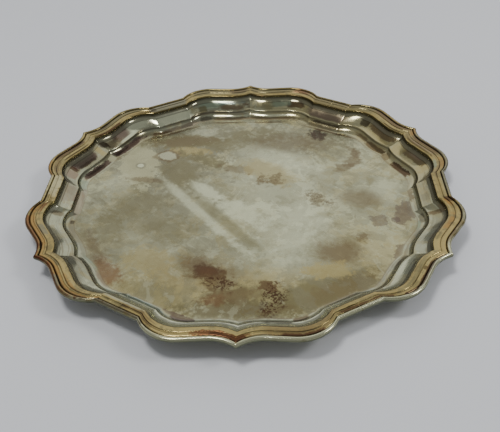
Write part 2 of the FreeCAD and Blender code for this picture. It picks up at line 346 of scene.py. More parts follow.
SILVER = shade(0.390, 0.390, 0.240)
PALE = shade(0.560, 0.580, 0.390)
TAN = shade(0.370, 0.305, 0.125)
GREY = shade(0.190, 0.182, 0.118)
OLIVE = shade(0.165, 0.145, 0.070)
BROWN = shade(0.130, 0.088, 0.042)
RED_BROWN = shade(0.055, 0.023, 0.013)
RUST = shade(0.160, 0.062, 0.028)
ORANGE = shade(0.300, 0.165, 0.045)
GOLD = shade(0.280, 0.215, 0.080)
PLUM = shade(0.110, 0.072, 0.058)
ROSE = shade(0.250, 0.185, 0.125)
# a colour paler than any of the metal, for painted highlights
PAINTED_HIGHLIGHT = shade(0.760, 0.770, 0.560)
BRASS = shade(0.390, 0.305, 0.120)
GREEN = shade(0.200, 0.260, 0.180)
SEA_GREY = shade(0.370, 0.380, 0.258)
BLUE = shade(0.190, 0.270, 0.245)
DARK = shade(0.030, 0.018, 0.010)
# dark colour of the painted shade and reflection on the border's outer face
SHADED_FACE_SLATE = shade(0.085, 0.095, 0.062)
WHITE = shade(1, 1, 1)
BLACK = shade(0, 0, 0)


# ---------------------------------------------------------------- materials
TENS_OF_DEGREES = 18 / math.pi                   # in a radian


class Finish:
    """A material of tarnished silver, put together from noise and listed patches."""

    def __init__(self, name):
        self.material = bpy.data.materials.new(name)
        self.material.use_nodes = True
        self.tree = self.material.node_tree
        self.shader = self.tree.nodes["Principled BSDF"]
        self.shader.inputs["Metallic"].default_value = 1.0
        place = self.add("ShaderNodeTexCoord").outputs["Object"]
        self.place = self.vector_maths("SCALE", place, factor=1 / CUSP)

    def add(self, kind, **settings):
        node = self.tree.nodes.new(kind)
        for key, value in settings.items():
            setattr(node, key, value)
        return node

    def wire(self, value, socket):
        if hasattr(value, "is_output"):
            self.tree.links.new(value, socket)
        else:
            socket.default_value = value

    def vector_maths(self, operation, *values, factor=None):
        node = self.add("ShaderNodeVectorMath", operation=operation)
        for value, socket in zip(values, node.inputs):
            self.wire(value, socket)
        if factor is not None:
            node.inputs["Scale"].default_value = factor
        return node.outputs["Value"] if operation == "LENGTH" else node.outputs["Vector"]

    def maths(self, operation, a, b=0.0, c=0.0):
        node = self.add("ShaderNodeMath", operation=operation)
        for value, socket in zip((a, b, c), node.inputs):
            self.wire(value, socket)
        return node.outputs[0]

    def attribute(self, name):
        return self.add("ShaderNodeAttribute", attribute_name=name).outputs["Fac"]

    def noise(self, size, detail, roughness, distortion=0.0, vector=None, *, seed):
        """Noise whose blotches are about a size across, in cusp radii; mostly 0.3 to 0.7."""
        node = self.add("ShaderNodeTexNoise", noise_dimensions="4D")
        self.wire(vector or self.place, node.inputs["Vector"])
        node.inputs["W"].default_value = seed
        node.inputs["Scale"].default_value = 1 / size
        node.inputs["Detail"].default_value = detail
        node.inputs["Roughness"].default_value = roughness
        node.inputs["Distortion"].default_value = distortion
        return node.outputs["Fac"]

    def mapped(self, vector, centre, turn, sizes):
        """A place as measured from a centre, along turned axes and in units of the sizes."""
        node = self.add("ShaderNodeMapping", vector_type="TEXTURE")
        self.wire(vector, node.inputs["Vector"])
        node.inputs["Location"].default_value = (*centre, 0)
        node.inputs["Rotation"].default_value = (0, 0, math.radians(turn))
        node.inputs["Scale"].default_value = (*sizes, 1)
        return node.outputs[0]

    def streaks(self, turn, stretch, size, seed):
        """Noise drawn out along one direction of the floor."""
        along = self.mapped(self.place, (0, 0), turn, (stretch, 1))
        return self.noise(size, 3, 0.6, vector=along, seed=seed)

    def rim_streaks(self, place, length, width, seed):
        """Noise drawn out along the rim, in the units of rim_place."""
        stretched = self.vector_maths("MULTIPLY", place, (1 / length, 1 / width, 1))
        return self.noise(1.0, 4, 0.62, 0.25, stretched, seed=seed)

    def ramp(self, value, low, high, start=0.0, end=1.0):
        node = self.add("ShaderNodeMapRange", interpolation_type="SMOOTHSTEP")
        self.wire(value, node.inputs["Value"])
        ends = {"From Min": low, "From Max": high, "To Min": start, "To Max": end}
        for name, number in ends.items():
            node.inputs[name].default_value = number
        return node.outputs["Result"]

    def band(self, value, middle, half, soft):
        """1 while a value is within a half width of a middle, fading to 0 over a soft edge."""
        away = self.maths("ABSOLUTE", self.maths("SUBTRACT", value, middle))
        return self.ramp(away, half + soft, half)

    def blend(self, first, second, share):
        node = self.add("ShaderNodeMix", data_type="RGBA")
        self.wire(share, node.inputs["Factor"])
        self.wire(first, node.inputs["A"])
        self.wire(second, node.inputs["B"])
        return node.outputs["Result"]

    def rim_place(self):
        """Place along the rim: tens of degrees from the front cusp, then the inset's share."""
        parts = self.add("ShaderNodeSeparateXYZ")
        self.wire(self.place, parts.inputs[0])
        forward = self.maths("MULTIPLY", parts.outputs["Y"], -1)
        turn = self.maths("ARCTAN2", parts.outputs["X"], forward)
        joined = self.add("ShaderNodeCombineXYZ")
        self.wire(self.maths("MULTIPLY", turn, TENS_OF_DEGREES), joined.inputs["X"])
        self.wire(self.attribute("share"), joined.inputs["Y"])
        return joined.outputs[0]

    def edge_noise(self, fine, broad, fine_gain=3.0, broad_gain=1.6):
        """Noise about zero, most of it fine, that roughens the edges of patches."""
        centred = self.maths("MULTIPLY_ADD", broad, broad_gain, -(fine_gain + broad_gain) / 2)
        return self.maths("MULTIPLY_ADD", fine, fine_gain, centred)

    def patches(self, colour, rows, vector, wander, boxy=False):
        """Patches laid over a colour one by one, with edges that noise roughens.

        They are ovals, or boxes with round corners. Each takes its place by way of the one before,
        so that the renderer works them out in turn: all at once they are more than it can hold.
        """
        place = vector
        for centre, half_sizes, turn, edge, ragged, tint, strength in rows:
            away = self.mapped(place, centre, turn, half_sizes)
            if boxy:
                # squares grow twice as fast at the edge, so the edge is given twice the room
                away = self.vector_maths("MULTIPLY", away, away)
                edge, ragged = 2 * edge, 2 * ragged
            distance = self.vector_maths("LENGTH", away)
            distance = self.maths("MULTIPLY_ADD", wander, ragged, distance)
            cover = self.ramp(distance, 1 + edge, 1 - edge, 0, strength)
            colour = self.blend(colour, tint, cover)
            place = self.vector_maths("MULTIPLY_ADD", cover, (0, 0, 0), vector)
        return colour

    def finish(self, colour, roughness, height, distance):
        """Wire up the shader. A height of 1 is a bump as high as the distance, in metres."""
        self.wire(colour, self.shader.inputs["Base Color"])
        self.wire(roughness, self.shader.inputs["Roughness"])
        bump = self.add("ShaderNodeBump")
        bump.inputs["Distance"].default_value = distance
        self.wire(height, bump.inputs["Height"])
        self.wire(bump.outputs[0], self.shader.inputs["Normal"])
        return self.material


# Patches of tarnish, some of them painted light: middle, half sizes, turn in degrees, softness of
# the edge, raggedness, colour and strength. On the floor they are ovals, with middles and sizes in
# cusp radii. The broad clouds come first and the smudges lie over them.
FLOOR_CLOUDS = [
    ((0.17, 0.0), (0.22, 0.52), 8, 0.70, 0.5, PALE, 0.68),
    ((0.58, 0.35), (0.10, 0.16), 10, 0.5, 0.8, PALE, 0.15),
    ((-0.50, -0.20), (0.24, 0.30), 20, 0.5, 0.9, GREY, 0.50),
    ((0.02, 0.56), (0.52, 0.15), 0, 0.5, 1.1, GREY, 0.70),
    ((-0.42, 0.34), (0.27, 0.27), 0, 0.4, 1.0, GREY, 0.85),
    ((-0.05, -0.62), (0.62, 0.14), 0, 0.5, 0.7, TAN, 0.65),
    ((0.55, -0.42), (0.16, 0.22), 30, 0.5, 0.7, TAN, 0.45),
    ((-0.16, -0.48), (0.19, 0.12), -15, 0.55, 0.9, BROWN, 0.35),
    ((0.33, -0.615), (0.27, 0.11), 24, 0.35, 0.7, OLIVE, 0.90),
    ((0.41, -0.60), (0.17, 0.06), 28, 0.40, 0.8, BROWN, 0.40),
    ((0.02, -0.715), (0.28, 0.06), 2, 0.35, 0.9, OLIVE, 0.90),
    ((0.02, -0.720), (0.20, 0.03), 2, 0.40, 0.9, BROWN, 0.30),
    ((-0.36, -0.63), (0.16, 0.08), -20, 0.40, 0.9, OLIVE, 0.40),
    ((0.42, 0.47), (0.15, 0.10), -35, 0.50, 1.0, OLIVE, 0.55),
    ((0.02, 0.60), (0.20, 0.07), 0, 0.40, 1.0, OLIVE, 0.70),
]
FLOOR_SMUDGES = [
    ((-0.55, 0.32), (0.100, 0.21), 6, 0.05, 0.7, SILVER, 0.92),
    ((-0.55, 0.32), (0.095, 0.20), 6, 0.10, 0.8, TAN, 0.15),
    ((-0.30, 0.45), (0.10, 0.05), -10, 0.06, 1.2, TAN, 0.70),
    ((-0.24, 0.63), (0.07, 0.045), 20, 0.08, 0.8, PALE, 0.30),
    ((-0.36, 0.55), (0.22, 0.060), 0, 0.30, 1.0, OLIVE, 0.90),
    ((-0.33, 0.55), (0.17, 0.045), 0, 0.35, 1.0, BROWN, 0.45),
    ((-0.10, 0.50), (0.18, 0.05), -8, 0.40, 1.3, OLIVE, 0.60),
    ((-0.52, -0.02), (0.14, 0.10), 15, 0.40, 1.2, OLIVE, 0.45),
    ((-0.35, -0.20), (0.11, 0.09), -20, 0.30, 1.1, OLIVE, 0.40),
    ((-0.62, -0.20), (0.07, 0.12), 10, 0.30, 1.1, OLIVE, 0.45),
    ((-0.40, -0.42), (0.12, 0.08), -20, 0.30, 1.1, TAN, 0.50),
    ((-0.22, 0.37), (0.14, 0.05), -30, 0.30, 1.1, OLIVE, 0.75),
    ((-0.34, 0.26), (0.09, 0.13), 10, 0.45, 1.3, OLIVE, 0.65),
    ((-0.42, 0.41), (0.062, 0.052), 0, 0.10, 0.5, BROWN, 0.60),
    ((-0.42, 0.41), (0.044, 0.036), 0, 0.15, 0.6, PALE, 0.55),
    ((-0.545, 0.32), (0.030, 0.030), 0, 0.15, 0.4, GREY, 0.60),
    ((-0.545, 0.32), (0.018, 0.018), 0, 0.15, 0.4, PALE, 0.90),
    ((-0.62, 0.15), (0.07, 0.10), 0, 0.40, 1.0, PALE, 0.30),
    ((-0.50, 0.19), (0.10, 0.025), -8, 0.30, 1.1, BROWN, 0.60),
    ((0.14, 0.385), (0.22, 0.070), -28, 0.35, 0.8, PALE, 0.45),
    ((-0.05, 0.28), (0.085, 0.033), -18, 0.25, 0.9, BROWN, 0.50),
    ((0.11, 0.25), (0.15, 0.075), -40, 0.30, 0.8, TAN, 0.55),
    ((0.12, 0.19), (0.045, 0.035), 0, 0.50, 3.0, BROWN, 0.60),
    ((0.22, 0.52), (0.18, 0.08), 0, 0.5, 1.0, BROWN, 0.40),
    ((0.24, -0.22), (0.10, 0.20), -12, 0.6, 0.9, PALE, 0.40),
    ((0.66, 0.08), (0.06, 0.10), 0, 0.5, 1.0, PALE, 0.30),
    ((0.490, 0.285), (0.060, 0.028), 38, 0.35, 1.1, BROWN, 0.60),
    ((0.535, 0.345), (0.060, 0.036), 58, 0.30, 0.9, BROWN, 0.60),
    ((0.556, 0.405), (0.050, 0.026), 85, 0.30, 0.9, BROWN, 0.50),
    ((0.532, 0.452), (0.035, 0.014), 125, 0.30, 0.9, BROWN, 0.40),
    ((0.36, 0.60), (0.035, 0.05), 15, 0.35, 1.6, DARK, 0.70),
    ((0.54, 0.02), (0.095, 0.060), -10, 0.6, 0.6, BROWN, 0.60),
    ((0.34, 0.01), (0.06, 0.035), -50, 0.35, 2.4, BROWN, 0.60),
    ((0.73, -0.10), (0.045, 0.10), -18, 0.06, 0.8, PLUM, 0.60),
    ((0.615, -0.15), (0.045, 0.045), 0, 0.08, 0.8, PLUM, 0.55),
    ((0.685, -0.145), (0.022, 0.022), 0, 0.10, 0.6, PLUM, 0.60),
    ((0.685, -0.37), (0.032, 0.060), -25, 0.06, 0.8, PLUM, 0.60),
    ((0.41, -0.37), (0.09, 0.075), 10, 0.60, 0.9, BROWN, 0.70),
    ((0.52, -0.28), (0.025, 0.030), 0, 0.30, 1.8, BROWN, 0.60),
    ((0.36, -0.49), (0.10, 0.050), 5, 0.25, 1.0, TAN, 0.70),
    ((0.02, -0.63), (0.16, 0.060), 8, 0.30, 1.0, OLIVE, 0.65),
    ((-0.04, -0.645), (0.120, 0.045), 8, 0.35, 1.1, BROWN, 0.55),
    ((-0.11, -0.665), (0.050, 0.030), 0, 0.50, 1.2, RUST, 0.32),
    ((-0.16, -0.48), (0.11, 0.060), -20, 0.40, 1.0, BROWN, 0.60),
    ((-0.145, -0.49), (0.062, 0.040), -15, 0.45, 1.1, RED_BROWN, 0.74),
    ((-0.145, -0.49), (0.038, 0.024), -15, 0.60, 1.0, RUST, 0.15),
    ((-0.10, -0.56), (0.060, 0.035), -10, 0.35, 2.6, BROWN, 0.60),
    ((0.12, -0.59), (0.050, 0.026), -15, 0.20, 1.4, BROWN, 0.90),
    ((-0.58, -0.48), (0.050, 0.09), 38, 0.35, 0.8, RUST, 0.60),
    ((-0.66, -0.33), (0.035, 0.12), 24, 0.5, 0.9, BROWN, 0.50),
    ((-0.26, -0.745), (0.09, 0.014), -24, 0.10, 0.6, PLUM, 0.70),
    # the next five rows are thin dark lines along the foot of the wall: painted shade and
    # reflection in the crease
    ((-0.12, 0.742), (0.095, 0.006), 0, 0.60, 0.4, BROWN, 0.90),
    ((0.11, 0.742), (0.095, 0.006), 0, 0.60, 0.4, BROWN, 0.90),
    ((-0.42, 0.632), (0.15, 0.008), 28, 0.60, 0.4, BROWN, 0.90),
    ((0.43, 0.628), (0.15, 0.008), -28, 0.60, 0.4, BROWN, 0.90),
    ((0.13, -0.775), (0.065, 0.009), 4, 0.10, 0.7, BROWN, 0.90),
    ((-0.20, -0.09), (0.36, 0.024), -53, 0.50, 1.0, PALE, 0.58),
    ((-0.19, 0.09), (0.10, 0.032), -45, 0.35, 0.8, PALE, 0.65),
    ((-0.01, -0.08), (0.15, 0.055), -45, 0.45, 0.9, PALE, 0.65),
    ((-0.085, -0.155), (0.25, 0.030), -50, 0.40, 0.6, OLIVE, 0.55),
]
# Where fingers have left the floor speckled, in white on black
SPECKLED = [
    ((0.13, -0.66), (0.05, 0.10), -15, 0.3, 0.6, WHITE, 1.0),
    ((-0.09, -0.565), (0.07, 0.035), -15, 0.3, 0.9, WHITE, 0.9),
    ((0.35, 0.01), (0.09, 0.035), -45, 0.4, 0.9, WHITE, 0.45),
    ((0.11, 0.19), (0.05, 0.04), 0, 0.4, 0.9, WHITE, 0.40),
    ((0.36, 0.60), (0.035, 0.055), 15, 0.3, 0.9, WHITE, 0.60),
]
# On the wall and the border they are boxes with round corners. Their middles and sizes are in tens
# of degrees from the front cusp, and in shares of the way from the rim's edge to the wall's foot.
# Many of the wall's boxes are painted reflections, dark and pale, and painted highlights; the rest
# are tarnish.
WALL_PATCHES = [
    ((13.6, 0.65), (4.6, 0.33), 0, 0.35, 0.5, TAN, 0.50),
    ((-12.6, 0.66), (2.6, 0.33), 0, 0.35, 0.5, GREY, 0.35),
    # the front wall's pale and bright boxes are painted light, brightening a wall that reflects
    # little
    ((0.0, 0.66), (3.8, 0.26), 0, 0.35, 0.6, PALE, 0.75),
    ((0.0, 0.68), (2.2, 0.10), 0, 0.30, 0.6, PAINTED_HIGHLIGHT, 0.65),
    ((0.6, 0.43), (2.8, 0.04), 0, 0.30, 0.8, BROWN, 0.45),
    ((1.3, 0.49), (0.9, 0.11), 0, 0.30, 0.5, BROWN, 0.45),
    ((1.05, 0.80), (0.42, 0.10), 0, 0.12, 0.4, GREY, 0.75),
    ((1.75, 0.92), (0.22, 0.06), 0, 0.20, 0.6, BROWN, 0.85),
    ((3.1, 0.94), (0.60, 0.04), 0, 0.30, 0.8, BROWN, 0.60),
    ((5.1, 0.64), (0.85, 0.08), 0, 0.20, 0.4, PALE, 0.70),
    ((5.0, 0.97), (0.75, 0.07), 0, 0.30, 0.8, PLUM, 0.35),
    ((7.6, 0.58), (0.40, 0.14), 0, 0.20, 0.6, OLIVE, 0.50),
    ((7.95, 0.88), (0.20, 0.07), 0, 0.25, 0.6, DARK, 0.55),
    ((7.6, 0.97), (0.25, 0.06), 0, 0.30, 0.6, GREEN, 0.60),
    ((8.0, 0.55), (0.09, 0.19), 0, 0.25, 0.5, BROWN, 0.80),
    ((8.1, 0.42), (0.16, 0.05), 0, 0.30, 0.5, ORANGE, 0.75),
    ((8.8, 0.62), (0.20, 0.10), 0, 0.15, 0.5, GREY, 0.45),
    ((9.3, 0.92), (0.28, 0.07), 0, 0.25, 0.9, BROWN, 0.70),
    ((10.35, 0.58), (0.20, 0.17), 0, 0.35, 0.5, TAN, 0.60),
    ((10.95, 0.50), (0.50, 0.11), 0, 0.12, 0.4, BROWN, 0.75),
    ((10.95, 0.49), (0.25, 0.04), 0, 0.40, 0.5, ROSE, 0.60),
    ((11.65, 0.56), (0.28, 0.18), 0, 0.25, 0.5, TAN, 0.55),
    ((10.85, 0.92), (0.48, 0.095), 0, 0.12, 0.7, RED_BROWN, 0.85),
    ((11.8, 0.90), (0.20, 0.10), 0, 0.25, 0.8, BROWN, 0.60),
    ((12.7, 0.50), (0.70, 0.11), 0, 0.12, 0.4, BROWN, 0.80),
    ((13.0, 0.43), (0.32, 0.018), 0, 0.30, 0.5, ROSE, 0.85),
    ((13.55, 0.53), (0.18, 0.12), 0, 0.20, 0.5, DARK, 0.75),
    ((12.8, 0.67), (0.65, 0.055), 0, 0.25, 0.5, TAN, 0.65),
    ((12.45, 0.88), (0.50, 0.07), 0, 0.20, 0.6, BROWN, 0.85),
    ((13.3, 0.85), (0.30, 0.05), 0, 0.25, 0.6, BROWN, 0.65),
    ((15.0, 0.55), (0.75, 0.15), 0, 0.15, 0.3, ROSE, 0.60),
    ((15.0, 0.62), (0.75, 0.09), 0, 0.40, 0.4, PLUM, 0.55),
    ((14.9, 0.80), (0.60, 0.022), 0, 0.25, 0.6, DARK, 0.80),
    ((15.0, 0.91), (0.80, 0.09), 0, 0.30, 0.7, BROWN, 0.60),
    ((16.35, 0.53), (0.32, 0.12), 0, 0.20, 0.5, RED_BROWN, 0.75),
    ((16.9, 0.50), (0.35, 0.11), 0, 0.30, 0.5, GREEN, 0.70),
    ((17.5, 0.57), (0.35, 0.13), 0, 0.30, 0.6, OLIVE, 0.65),
    ((17.0, 0.84), (0.55, 0.035), 0, 0.30, 0.4, PALE, 0.60),
    ((17.0, 0.94), (1.0, 0.06), 0, 0.25, 0.6, BROWN, 0.75),
    ((-17.45, 0.61), (0.55, 0.09), 0, 0.30, 0.7, BROWN, 0.80),
    ((-17.2, 0.47), (0.50, 0.06), 0, 0.40, 0.6, BLUE, 0.60),
    ((-16.5, 0.51), (0.35, 0.12), 0, 0.35, 0.6, GREEN, 0.65),
    ((-16.2, 0.65), (0.16, 0.10), 0, 0.30, 0.6, OLIVE, 0.80),
    ((-17.3, 0.93), (0.70, 0.06), 0, 0.25, 0.6, BROWN, 0.80),
    ((-16.25, 0.90), (0.22, 0.08), 0, 0.25, 0.6, DARK, 0.60),
    # pale panel and bright line: painted reflection and painted highlight
    ((-15.0, 0.60), (0.75, 0.16), 0, 0.15, 0.3, PALE, 0.85),
    ((-15.0, 0.44), (0.72, 0.022), 0, 0.15, 0.3, PAINTED_HIGHLIGHT, 0.95),
    ((-15.1, 0.90), (0.80, 0.08), 0, 0.30, 0.6, ROSE, 0.50),
    ((-14.3, 0.93), (0.35, 0.06), 0, 0.20, 0.8, BROWN, 0.85),
    ((-13.65, 0.54), (0.45, 0.14), 0, 0.35, 0.5, PALE, 0.70),
    ((-12.85, 0.53), (0.38, 0.14), 0, 0.35, 0.6, PLUM, 0.80),
    ((-12.4, 0.62), (0.28, 0.10), 0, 0.30, 0.8, BROWN, 0.60),
    ((-12.06, 0.51), (0.14, 0.14), 0, 0.20, 0.5, DARK, 0.80),
    ((-13.1, 0.70), (0.48, 0.04), 0, 0.25, 0.5, PALE, 0.65),
    ((-12.9, 0.875), (0.88, 0.075), 0, 0.12, 0.5, PLUM, 0.90),
    ((-12.9, 0.885), (0.78, 0.045), 0, 0.30, 0.9, DARK, 0.60),
    ((-11.72, 0.57), (0.13, 0.20), 0, 0.30, 0.4, TAN, 0.75),
    ((-11.0, 0.53), (0.54, 0.14), 0, 0.12, 0.3, PLUM, 0.85),
    ((-11.1, 0.46), (0.40, 0.06), 0, 0.50, 0.5, GREY, 0.60),
    ((-11.0, 0.63), (0.46, 0.045), 0, 0.30, 0.5, DARK, 0.50),
    ((-10.45, 0.54), (0.08, 0.13), 0, 0.20, 0.5, RED_BROWN, 0.85),
    ((-10.18, 0.56), (0.20, 0.15), 0, 0.15, 0.4, ROSE, 0.80),
    ((-10.98, 0.87), (0.64, 0.075), 0, 0.12, 0.4, PLUM, 0.90),
    ((-11.0, 0.88), (0.56, 0.050), 0, 0.30, 0.6, DARK, 0.60),
    ((-10.0, 0.87), (0.25, 0.10), 0, 0.40, 0.6, GREEN, 0.50),
    ((-9.2, 0.58), (0.50, 0.18), 0, 0.40, 1.3, ROSE, 0.45),
    ((-9.0, 0.85), (0.60, 0.12), 0, 0.35, 1.2, ROSE, 0.60),
    # a star glint: painted highlight
    ((-8.22, 0.44), (0.11, 0.045), 0, 0.25, 0.4, PAINTED_HIGHLIGHT, 0.90),
    ((-8.1, 0.60), (0.09, 0.15), 0, 0.30, 0.6, BROWN, 0.60),
    ((-7.92, 0.93), (0.10, 0.05), 0, 0.25, 0.5, DARK, 0.80),
    ((-5.6, 0.96), (0.45, 0.06), 0, 0.35, 0.6, GREEN, 0.45),
    ((-4.8, 0.97), (0.45, 0.06), 0, 0.35, 0.8, RUST, 0.40),
    ((-3.1, 0.84), (1.0, 0.11), 0, 0.25, 0.5, BLUE, 0.65),
    ((-4.2, 0.42), (1.0, 0.06), 0, 0.40, 0.8, TAN, 0.65),
    ((-7.0, 0.94), (0.9, 0.06), 0, 0.30, 0.6, GREY, 0.60),
    ((-1.6, 0.94), (0.36, 0.06), 0, 0.15, 0.6, PLUM, 0.85),
]
BORDER_PATCHES = [
    # a pale band along the front crest: painted highlight
    ((1.5, 0.045), (5.6, 0.060), 0, 0.25, 0.6, PALE, 0.75),
    ((-0.9, 0.15), (1.1, 0.08), 0, 0.30, 0.6, BRASS, 0.70),
    ((-0.42, 0.17), (0.55, 0.075), 0, 0.20, 0.8, RUST, 0.85),
    ((-0.25, 0.14), (0.40, 0.045), 0, 0.25, 0.9, RED_BROWN, 0.75),
    ((1.5, 0.25), (0.85, 0.12), 0, 0.30, 0.6, BROWN, 0.50),
    ((1.45, 0.13), (0.50, 0.045), 0, 0.20, 0.7, RED_BROWN, 0.85),
    ((3.2, 0.15), (0.80, 0.035), 0, 0.20, 0.8, RED_BROWN, 0.80),
    ((2.7, 0.21), (0.20, 0.03), 0, 0.30, 1.8, DARK, 0.60),
    ((5.0, 0.10), (0.95, 0.045), 0, 0.20, 0.7, RED_BROWN, 0.80),
    ((5.2, 0.18), (0.07, 0.03), 0, 0.20, 0.6, DARK, 0.65),
    ((4.9, 0.28), (0.60, 0.04), 0, 0.30, 0.8, OLIVE, 0.60),
    ((6.9, 0.06), (0.50, 0.03), 0, 0.30, 0.9, BROWN, 0.75),
    ((6.7, 0.18), (0.90, 0.09), 0, 0.30, 0.7, BRASS, 0.75),
    ((7.3, 0.28), (0.35, 0.05), 0, 0.35, 0.9, ORANGE, 0.70),
    ((7.8, 0.04), (0.35, 0.06), 0, 0.25, 0.6, GREY, 0.70),
    ((8.1, 0.24), (0.20, 0.08), 0, 0.30, 0.7, ORANGE, 0.80),
    ((8.3, 0.15), (0.13, 0.11), 0, 0.20, 0.6, RED_BROWN, 0.80),
    ((8.9, 0.06), (0.45, 0.08), 0, 0.20, 0.5, GREY, 0.70),
    ((8.85, 0.25), (0.45, 0.06), 0, 0.30, 0.6, GOLD, 0.80),
    ((9.7, 0.24), (0.30, 0.04), 0, 0.30, 0.6, BROWN, 0.50),
    ((10.4, 0.045), (1.5, 0.05), 0, 0.15, 0.4, GREY, 0.80),
    ((10.1, 0.16), (0.25, 0.08), 0, 0.30, 0.6, ORANGE, 0.55),
    ((10.1, 0.34), (0.20, 0.04), 0, 0.40, 0.5, GREEN, 0.60),
    ((11.1, 0.14), (0.65, 0.07), 0, 0.15, 0.5, BROWN, 0.85),
    ((11.1, 0.25), (0.55, 0.03), 0, 0.35, 0.5, ROSE, 0.55),
    ((11.2, 0.31), (0.65, 0.028), 0, 0.25, 0.6, DARK, 0.65),
    ((11.85, 0.12), (0.12, 0.09), 0, 0.30, 0.5, ORANGE, 0.60),
    ((12.9, 0.15), (0.88, 0.07), 0, 0.15, 0.5, BROWN, 0.85),
    ((12.5, 0.33), (0.42, 0.022), 0, 0.25, 0.5, DARK, 0.75),
    ((13.9, 0.20), (0.40, 0.13), 0, 0.25, 0.6, OLIVE, 0.80),
    ((15.0, 0.21), (0.66, 0.14), 0, 0.12, 0.4, BROWN, 0.55),
    ((15.0, 0.21), (0.66, 0.14), 0, 0.12, 0.4, OLIVE, 0.60),
    ((16.25, 0.17), (0.30, 0.10), 0, 0.25, 0.5, RUST, 0.65),
    ((17.3, 0.17), (0.75, 0.09), 0, 0.20, 0.5, OLIVE, 0.80),
    ((17.3, 0.27), (0.60, 0.015), 0, 0.30, 0.6, DARK, 0.60),
    ((-17.0, 0.20), (0.92, 0.11), 0, 0.12, 0.4, OLIVE, 0.85),
    ((-17.6, 0.18), (0.30, 0.07), 0, 0.40, 0.6, BROWN, 0.60),
    ((-15.0, 0.23), (0.70, 0.14), 0, 0.10, 0.3, GREY, 0.90),
    ((-14.4, 0.20), (0.14, 0.12), 0, 0.25, 0.5, DARK, 0.55),
    ((-13.3, 0.16), (0.95, 0.08), 0, 0.12, 0.4, OLIVE, 0.90),
    ((-12.45, 0.13), (0.42, 0.05), 0, 0.25, 0.5, DARK, 0.55),
    ((-12.6, 0.34), (0.58, 0.03), 0, 0.20, 0.5, RED_BROWN, 0.85),
    ((-11.05, 0.14), (0.58, 0.07), 0, 0.12, 0.4, BROWN, 0.90),
    ((-11.3, 0.12), (0.30, 0.04), 0, 0.40, 0.6, DARK, 0.60),
    ((-11.0, 0.32), (0.52, 0.022), 0, 0.25, 0.5, DARK, 0.80),
    ((-10.15, 0.23), (0.28, 0.08), 0, 0.30, 0.8, BROWN, 0.60),
    ((-9.95, 0.03), (0.35, 0.05), 0, 0.30, 0.6, ORANGE, 0.85),
    ((-9.1, 0.19), (0.55, 0.19), 0, 0.20, 0.7, BRASS, 0.60),
    ((-9.1, 0.19), (0.50, 0.17), 0, 0.30, 0.9, PALE, 0.35),
    ((-8.6, 0.16), (0.12, 0.05), 0, 0.30, 1.4, BROWN, 0.60),
    ((-8.2, 0.10), (0.16, 0.07), 0, 0.25, 0.6, DARK, 0.65),
    ((-8.1, 0.24), (0.22, 0.07), 0, 0.30, 0.8, RUST, 0.60),
    ((-6.9, 0.17), (1.1, 0.10), 0, 0.30, 0.7, BRASS, 0.70),
    ((-7.1, 0.14), (1.10, 0.065), 0, 0.30, 0.7, ORANGE, 0.75),
    ((-6.8, 0.03), (1.2, 0.05), 0, 0.25, 0.8, RUST, 0.80),
    ((-7.05, 0.28), (0.25, 0.06), 0, 0.25, 0.6, GREY, 0.75),
    ((-6.35, 0.10), (0.14, 0.04), 0, 0.25, 0.8, DARK, 0.60),
    ((-6.1, 0.015), (0.40, 0.03), 0, 0.25, 0.6, RED_BROWN, 0.80),
    ((-5.2, 0.22), (0.90, 0.09), 0, 0.25, 0.8, BRASS, 0.75),
    ((-4.9, 0.12), (1.10, 0.065), 0, 0.25, 0.7, ORANGE, 0.75),
    ((-5.1, 0.03), (0.90, 0.03), 0, 0.25, 0.7, RUST, 0.80),
    ((-5.6, 0.20), (0.20, 0.03), 0, 0.25, 1.5, OLIVE, 0.80),
    ((-4.85, 0.08), (0.20, 0.045), 0, 0.25, 0.7, GREY, 0.80),
    ((-4.6, 0.25), (0.35, 0.04), 0, 0.35, 0.9, ORANGE, 0.60),
    ((-4.3, 0.11), (0.45, 0.04), 0, 0.30, 0.8, BROWN, 0.70),
    ((-3.0, 0.06), (0.85, 0.06), 0, 0.20, 0.6, RED_BROWN, 0.65),
    ((-2.9, 0.22), (0.12, 0.05), 0, 0.30, 0.9, BROWN, 0.70),
    ((-3.0, 0.15), (0.14, 0.10), 0, 0.30, 1.2, DARK, 0.45),
    ((-3.0, 0.33), (0.65, 0.04), 0, 0.25, 0.5, SEA_GREY, 0.60),
]
# Painted shade, dark lines along the wall's edges and creases: share of the way in, half width,
# softness, colour and strength
WALL_SHADE_LINES = [
    (0.392, 0.006, 0.012, DARK, 0.55),
    (0.43, 0.030, 0.020, GREY, 0.70),
    (0.475, 0.004, 0.010, DARK, 0.50),
    (0.765, 0.006, 0.012, DARK, 0.40),
    (0.99, 0.008, 0.020, BROWN, 0.50),
]


